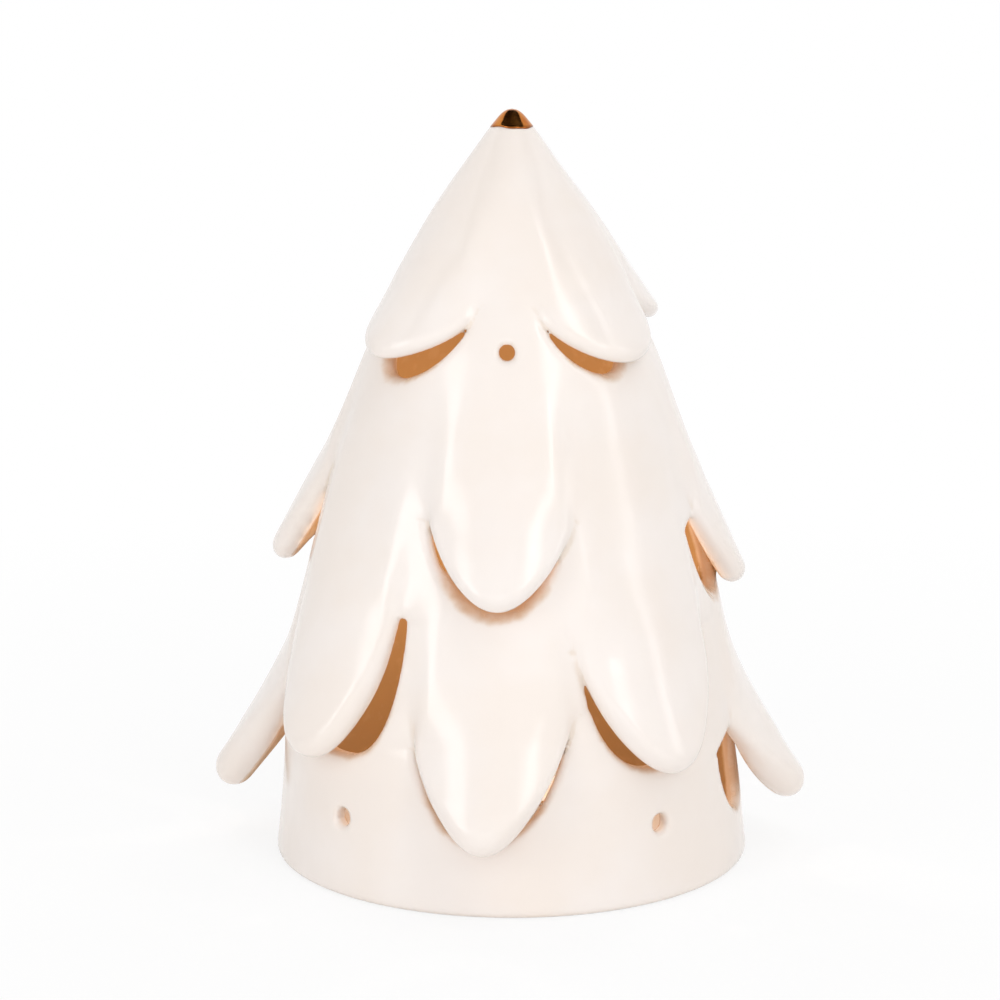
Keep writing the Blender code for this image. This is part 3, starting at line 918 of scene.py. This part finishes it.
def ring(radius, height, turns):
    """Points round the z axis; radius and height are numbers or one value for each turn."""
    x, y = radius * np.cos(turns), radius * np.sin(turns)
    return np.stack([x, y, np.broadcast_to(height, turns.shape)], axis=1)


def full_turn(sides):
    return np.arange(sides) * tau / sides


def add_gold_tip():
    """The lustre as a thin cap over the ceramic's tip, with a brushed, wavering lower edge."""
    turns = full_turn(GOLD_SIDES)
    edge = GOLD_EDGE + sum(rise * np.sin(count * turns + start) for rise, count, start in GOLD_WAVER)
    rings = [ring(core_radius(edge) - GOLD_DEPTH, edge, turns)]
    climbs = np.linspace(0.0, 1.0, GOLD_RINGS + 1)[:-1] ** GOLD_CROWDING
    films = GOLD_FILM * ease((climbs + GOLD_FILM_RISE / 2) / GOLD_FILM_RISE)
    for climb, film in zip(climbs, films):
        height = edge + (TREE_HEIGHT - edge) * climb
        rings.append(ring(core_radius(height) - GOLD_FILM + film, height, turns))
    points, faces = turned(rings)
    points[-1, 2] = TREE_HEIGHT
    points[-2, 2] = GOLD_EDGE
    tip = mesh_object("gold_lustre_tip", points * MM, faces)
    mark(tip, "edge", np.clip(points[:, 2] - GOLD_EDGE, 0.0, 1.0))
    dress(tip, gold_look(), "gold_tip", "tree")


def cup_shell():
    """Radii and heights of the cup from its base up to its rim, outside."""
    shell = list(CUP_BASE)
    for climb in np.linspace(*CUP_WALL_SPAN):
        shell.append((CUP_FOOT_RADIUS + CUP_DRAFT * climb, CUP_WALL_TALL * climb + CUP_WALL_FROM))
    radius, height = CUP_RIM
    for turn in np.linspace(*CUP_RIM_ARC):
        shell.append((radius + CUP_RIM_ROUND * cos(turn), height + CUP_RIM_ROUND * sin(turn)))
    return shell


def add_cup():
    """A drawn foil cup: recessed base, fluted tapered wall and a rolled rim."""
    turns = full_turn(CUP_FLUTES * CUP_FLUTE_POINTS)
    groove = CUP_FLUTE_DEPTH * (np.cos(CUP_FLUTES * turns) - 1.0) / 2.0
    start, start_run = FLUTES_START
    end, end_run = FLUTES_END
    rings = []
    for radius, height in cup_shell():
        depth = ease((height - start) / start_run) * ease((end - height) / end_run)
        rings.append(ring(radius + groove * depth, height, turns))
    for radius, height in CUP_INSIDE:
        rings.append(ring(radius, height, turns))
    points, faces = turned(rings)
    cup = mesh_object("foil_cup", points * MM, faces)
    dress(cup, aluminium_look(), "tealight_cup", "tealight")


def wax_height(radius, turns):
    """The top of the wax, which creeps up the cup's wall and the wick and dips a little between."""
    creep = CREEP_UP_WALL * np.exp(-(WAX_RADIUS - radius) / CREEP_RUN)
    creep = creep + CREEP_UP_WICK * np.exp(-(radius - WAX_BORE) / CREEP_RUN)
    dip = sum(depth * np.sin(count * turns + radius / swirl) for depth, count, swirl in WAX_DIPS)
    return WAX_TOP + creep + dip * ease(radius / DIP_RUN)


def add_wax():
    """A pressed cake of wax."""
    turns = full_turn(WAX_SIDES)
    rings = [ring(radius, height, turns) for radius, height in WAX_SIDE]
    near_wall = np.linspace(*WAX_NEAR_WALL)
    open_top = np.linspace(*WAX_OPEN_TOP)
    for radius in np.concatenate([near_wall, open_top, WAX_NEAR_WICK]):
        rings.append(ring(radius, wax_height(radius, turns), turns))
    points, faces = turned(rings)
    wax = mesh_object("wax_cake", points * MM, faces)
    dress(wax, wax_look(), "tealight_wax", "tealight")


def wick_strand(start):
    """One strand of the wick, which begins its twist at a share of a turn."""
    climb = np.linspace(0.0, 1.0, WICK_RINGS)
    height = WICK_FOOT + WICK_LENGTH * climb
    twist = tau * (height / WICK_PITCH + start)
    lean = WICK_LEAN * np.maximum(height - WICK_FREE_FROM, 0.0) ** 2 / WICK_FREE_RUN**2
    thin = np.sqrt(np.clip((1.0 - climb) * STRAND_POINT, STRAND_THINNEST, 1.0))
    turns = full_turn(STRAND_SIDES)
    rings = []
    for z, turn, shift, share in zip(height, twist, lean, thin):
        middle = np.array((STRAND_OUT * cos(turn) + shift, STRAND_OUT * sin(turn), 0.0))
        rings.append(ring(STRAND_RADIUS * share, z, turns) + middle)
    return turned(rings)


def add_wick():
    """Three waxed strands twisted together, which lean a little above the wax."""
    points, faces = [], []
    for strand in range(WICK_STRANDS):
        strand_points, strand_faces = wick_strand(strand / WICK_STRANDS)
        before = strand * len(strand_points)
        faces += [tuple(before + corner for corner in face) for face in strand_faces]
        points.append(strand_points)
    wick = mesh_object("twisted_wick", np.concatenate(points) * MM, faces)
    dress(wick, cotton_look(), "tealight_wick", "tealight")


def finish_sustainer():
    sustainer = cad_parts["wick_sustainer"]
    sustainer.data.materials.clear()
    sustainer.data.materials.append(tinplate_look())


# Materials: sizes of noise and heights of relief are in mm


class Look:
    """A new material with its shader, and short calls for the nodes that feed it."""

    def __init__(self, name, **constants):
        self.material = bpy.data.materials.new(name)
        self.material.use_nodes = True
        self.nodes = self.material.node_tree.nodes
        self.shader = self.nodes["Principled BSDF"]
        for socket, value in constants.items():
            self.shader.inputs[socket.replace("_", " ")].default_value = value
        self.place = self.nodes.new("ShaderNodeTexCoord").outputs["Object"]

    def link(self, source, target):
        self.material.node_tree.links.new(source, target)

    def feed(self, socket, source):
        self.link(source, self.shader.inputs[socket])

    def value(self, name):
        layer = self.nodes.new("ShaderNodeAttribute")
        layer.attribute_name = name
        return layer.outputs["Fac"]

    def noise(self, size, detail, squeeze=(1.0, 1.0, 1.0)):
        """Noise with features of about that size, squeezed along the axes."""
        scaled = self.nodes.new("ShaderNodeMapping")
        scaled.inputs["Scale"].default_value = squeeze
        self.link(self.place, scaled.inputs["Vector"])
        noise = self.nodes.new("ShaderNodeTexNoise")
        noise.inputs["Scale"].default_value = 1.0 / (size * MM)
        noise.inputs["Detail"].default_value = detail
        self.link(scaled.outputs["Vector"], noise.inputs["Vector"])
        return noise.outputs["Fac"]

    def spread(self, source, low, high, to_low=0.0, to_high=1.0):
        """source from low to high becomes to_low to to_high, with a smooth start and end."""
        ranged = self.nodes.new("ShaderNodeMapRange")
        ranged.interpolation_type = "SMOOTHSTEP"
        numbers = {"From Min": low, "From Max": high, "To Min": to_low, "To Max": to_high}
        for socket, number in numbers.items():
            ranged.inputs[socket].default_value = number
        self.link(source, ranged.inputs["Value"])
        return ranged.outputs["Result"]

    def math(self, operation, first, second):
        step = self.nodes.new("ShaderNodeMath")
        step.operation = operation
        for socket, source in zip(step.inputs, (first, second)):
            if isinstance(source, float):
                socket.default_value = source
            else:
                self.link(source, socket)
        return step.outputs["Value"]

    def ramp(self, source, stops):
        """Colours at places from 0 to 1 of the source."""
        ramp = self.nodes.new("ShaderNodeValToRGB")
        colours = ramp.color_ramp.elements
        while len(colours) < len(stops):
            colours.new(0.5)
        for element, (position, colour) in zip(colours, stops):
            element.position = position
            element.color = (*colour, 1.0)
        self.link(source, ramp.inputs["Fac"])
        return ramp.outputs["Color"]

    def mix(self, share, first, second):
        """first where share is 0 and second where it is 1; each is a colour or a link."""
        mixed = self.nodes.new("ShaderNodeMix")
        mixed.data_type = "RGBA"
        self.link(share, mixed.inputs["Factor"])
        for socket, source in zip((mixed.inputs[6], mixed.inputs[7]), (first, second)):
            if isinstance(source, tuple):
                socket.default_value = (*source, 1.0)
            else:
                self.link(source, socket)
        return mixed.outputs[2]

    def bump(self, *layers):
        """Small relief: each layer is a source and its height."""
        relief = None
        for source, height in layers:
            bump = self.nodes.new("ShaderNodeBump")
            bump.inputs["Distance"].default_value = height * MM
            self.link(source, bump.inputs["Height"])
            if relief:
                self.link(relief, bump.inputs["Normal"])
            relief = bump.outputs["Normal"]
        self.feed("Normal", relief)


def glaze_look():
    """Glossy cream glaze, warmer where it runs thin and darker in creases from pooled glaze and painted
    shade, with painted shade in tan to brown on the cut faces, under the boughs and inside.
    """
    look = Look("cream_glaze")
    drift = look.noise(30.0, detail=3.0)
    grain = look.noise(4.0, detail=3.0)
    ripple = look.noise(9.0, detail=1.0)
    cloud = look.mix(look.spread(drift, 0.35, 0.65), GLAZE_PALE, GLAZE_WARM)
    # Creases turn darker and warmer: partly pooled glaze, partly painted shade
    crease_pool_and_shade = look.spread(look.value("bend"), *CREASE_BEND, 0.0, CREASE_POOL_AND_SHADE_SHARE)
    thin = look.spread(look.value("bend"), *RIM_BEND, 0.0, RIM_THIN)
    glazed = look.mix(crease_pool_and_shade, cloud, POOL_AND_CREASE_SHADE)
    glazed = look.mix(thin, glazed, CUT_SHADE_AND_THIN_GLAZE_TAN)
    # Painted shade: the shade mark, made ragged by noise, turns the colour tan to brown and the finish
    # rougher
    ragged_shade = look.math("ADD", look.value("painted_shade"), look.spread(grain, *NOISE_SPAN, -RAGGED, RAGGED))
    inside = look.ramp(ragged_shade, SHADE_COLOURS)
    look.feed("Base Color", look.mix(look.spread(ragged_shade, *GLAZE_END), glazed, inside))
    gloss = look.spread(ragged_shade, *GLOSS_END, *GLAZE_ROUGH)
    uneven = look.spread(drift, *NOISE_SPAN, 0.0, GLAZE_DRIFT_ROUGH)
    look.feed("Roughness", look.math("ADD", gloss, uneven))
    look.bump((ripple, 0.12), (grain, 0.03))
    return look.material


def gold_look():
    """Fired gold lustre: a mirror film with a brown edge where it was brushed on thin."""
    look = Look("gold_lustre", Metallic=1.0)
    streaks = look.noise(2.2, detail=3.0, squeeze=(1.0, 1.0, 0.3))
    dents = look.noise(3.0, detail=1.0)
    film = look.mix(look.spread(streaks, *NOISE_SPAN), GOLD_DEEP, GOLD_BRIGHT)
    past_edge = look.spread(look.value("edge"), 0.0, 0.9)
    look.feed("Base Color", look.mix(past_edge, GOLD_EDGE_BROWN, film))
    look.feed("Roughness", look.spread(streaks, 0.25, 0.75, *GOLD_ROUGH))
    look.bump((dents, 0.08))
    return look.material


def aluminium_look():
    """Drawn aluminium foil with fine upright draw lines."""
    look = Look("bright_aluminium", Metallic=1.0)
    lines = look.noise(0.7, detail=2.0, squeeze=(1.0, 1.0, 0.05))
    dents = look.noise(6.0, detail=1.0)
    look.feed("Base Color", look.mix(lines, FOIL_DARK, FOIL_LIGHT))
    look.feed("Roughness", look.spread(lines, *WIDE_SPAN, *FOIL_ROUGH))
    look.bump((lines, 0.04), (dents, 0.12))
    return look.material


def wax_look():
    """Pressed paraffin: white, faintly frosted, with a few pits."""
    look = Look("white_wax", Subsurface_Weight=0.25, Subsurface_Scale=2.0 * MM)
    frost = look.noise(2.5, detail=4.0)
    pits = look.spread(look.noise(1.1, detail=1.0), 0.30, 0.42, 1.0, 0.0)
    look.feed("Base Color", look.mix(look.spread(frost, 0.35, 0.7), WAX_DULL, WAX_BRIGHT))
    look.feed("Roughness", look.spread(frost, *NOISE_SPAN, *WAX_ROUGH))
    look.bump((frost, 0.08), (pits, -0.1))
    return look.material


def cotton_look():
    """Waxed cotton strands with fine fibres along them."""
    look = Look("waxed_cotton")
    fibres = look.noise(0.3, detail=3.0, squeeze=(1.0, 1.0, 0.25))
    look.feed("Base Color", look.mix(fibres, COTTON_DARK, COTTON_PALE))
    look.feed("Roughness", look.spread(fibres, *WIDE_SPAN, *COTTON_ROUGH))
    look.bump((fibres, 0.08))
    return look.material


def tinplate_look():
    """Stamped tinplate with a brushed grain."""
    look = Look("tinplate", Metallic=1.0)
    grain = look.noise(0.4, detail=3.0, squeeze=(1.0, 0.08, 1.0))
    look.feed("Base Color", look.mix(grain, TIN_DARK, TIN_LIGHT))
    look.feed("Roughness", look.spread(grain, *WIDE_SPAN, *TIN_ROUGH))
    look.bump((grain, 0.03))
    return look.material


# Stage, light and camera


def aim(thing, place, target):
    thing.location = place
    thing.rotation_euler = (Vector(target) - Vector(place)).to_track_quat("-Z", "Y").to_euler()


def add_camera():
    data = bpy.data.cameras.new("photo_camera")
    data.lens = LENS
    data.sensor_width = SENSOR_WIDTH
    camera = scene_object("photo_camera", data)
    aim(camera, (0.0, -CAMERA_DISTANCE, CAMERA_HEIGHT), CAMERA_TARGET)
    bpy.context.scene.camera = camera


def add_softbox(box):
    """A soft box that stands round the object at an azimuth in degrees."""
    data = bpy.data.lights.new(box.name, "AREA")
    data.shape = "RECTANGLE"
    data.size = box.wide
    data.size_y = box.tall
    data.energy = box.watts
    light = scene_object(box.name, data)
    turn = radians(box.azimuth)
    place = (SOFTBOX_REACH * sin(turn), -SOFTBOX_REACH * cos(turn), box.height)
    aim(light, place, SOFTBOX_TARGET)
    light.visible_camera = False
    light.visible_glossy = box.mirrored


def add_cavity_lamp(number, height, power):
    """A faint lamp inside the tree, which stands for the tealight's glow on the inside, whose brown is
    painted shade.
    """
    data = bpy.data.lights.new(f"glow_{number}", "POINT")
    data.energy = power
    data.color = GLOW_COLOUR
    data.shadow_soft_size = GLOW_LAMP_RADIUS * MM
    lamp = scene_object(f"glow_{number}", data)
    lamp.location = (0.0, 0.0, height * MM)
    lamp.visible_camera = False
    lamp.visible_glossy = False
    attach(lamp, "tree")


def seen_directly(nodes, links):
    """1 for rays from the camera, a reflection or a refraction, and 0 for rays that carry light."""
    path = nodes.new("ShaderNodeLightPath")
    seen = path.outputs["Is Camera Ray"]
    for kind in ("Is Glossy Ray", "Is Transmission Ray"):
        either = nodes.new("ShaderNodeMath")
        either.operation = "MAXIMUM"
        links.new(seen, either.inputs[0])
        links.new(path.outputs[kind], either.inputs[1])
        seen = either.outputs["Value"]
    return seen


def floor_look():
    """Matt white that shows as white as the background away from the object and its shadow."""
    look = Look("floor_white", Base_Color=FLOOR_GREY, Roughness=1.0, Specular_IOR_Level=0.0)
    nodes, links = look.nodes, look.material.node_tree.links
    far = nodes.new("ShaderNodeVectorMath")
    far.operation = "LENGTH"
    look.link(look.place, far.inputs[0])
    reach = look.math("DIVIDE", far.outputs["Value"], FLOOR_WHITE_REACH)
    stops = [(position, (share, share, share)) for position, share in FLOOR_WHITE_STOPS]
    share = look.math("MULTIPLY", seen_directly(nodes, links), look.ramp(reach, stops))
    white = nodes.new("ShaderNodeEmission")
    mixed = nodes.new("ShaderNodeMixShader")
    look.link(share, mixed.inputs["Fac"])
    look.link(look.shader.outputs["BSDF"], mixed.inputs[1])
    look.link(white.outputs["Emission"], mixed.inputs[2])
    look.link(mixed.outputs["Shader"], nodes["Material Output"].inputs["Surface"])
    return look.material


def add_floor():
    sides = ((-1, -1), (1, -1), (1, 1), (-1, 1))
    corners = [(x * FLOOR_HALF, y * FLOOR_HALF, 0.0) for x, y in sides]
    floor = mesh_object("floor", corners, [(0, 1, 2, 3)])
    floor.data.materials.append(floor_look())


def add_dark_card():
    corners = [(x, y, CARD_HEIGHT) for x, y in CARD_CORNERS]
    card = mesh_object("dark_card", corners, [(0, 1, 2, 3)])
    look = Look("dark_card", Base_Color=CARD_BLACK, Roughness=1.0)
    card.data.materials.append(look.material)
    for rays in ("visible_camera", "visible_diffuse", "visible_shadow", "visible_transmission"):
        setattr(card, rays, False)


def add_world():
    """Soft white light from all round, and a pure white background."""
    world = bpy.data.worlds.new("studio")
    world.use_nodes = True
    nodes, links = world.node_tree.nodes, world.node_tree.links
    lighting = nodes["Background"]
    lighting.inputs["Color"].default_value = WHITE
    lighting.inputs["Strength"].default_value = WORLD_LIGHT
    backdrop = nodes.new("ShaderNodeBackground")
    backdrop.inputs["Color"].default_value = WHITE
    mixed = nodes.new("ShaderNodeMixShader")
    links.new(seen_directly(nodes, links), mixed.inputs["Fac"])
    links.new(lighting.outputs["Background"], mixed.inputs[1])
    links.new(backdrop.outputs["Background"], mixed.inputs[2])
    links.new(mixed.outputs["Shader"], nodes["World Output"].inputs["Surface"])
    bpy.context.scene.world = world


add_ceramic()
add_gold_tip()
add_cup()
add_wax()
add_wick()
finish_sustainer()
add_camera()
add_floor()
add_dark_card()
add_world()
for softbox in SOFTBOXES:
    add_softbox(softbox)
for lamp_number, (lamp_height, lamp_power) in enumerate(GLOW_LAMPS, start=1):
    add_cavity_lamp(lamp_number, lamp_height, lamp_power)
bpy.context.scene.view_settings.view_transform = "Standard"
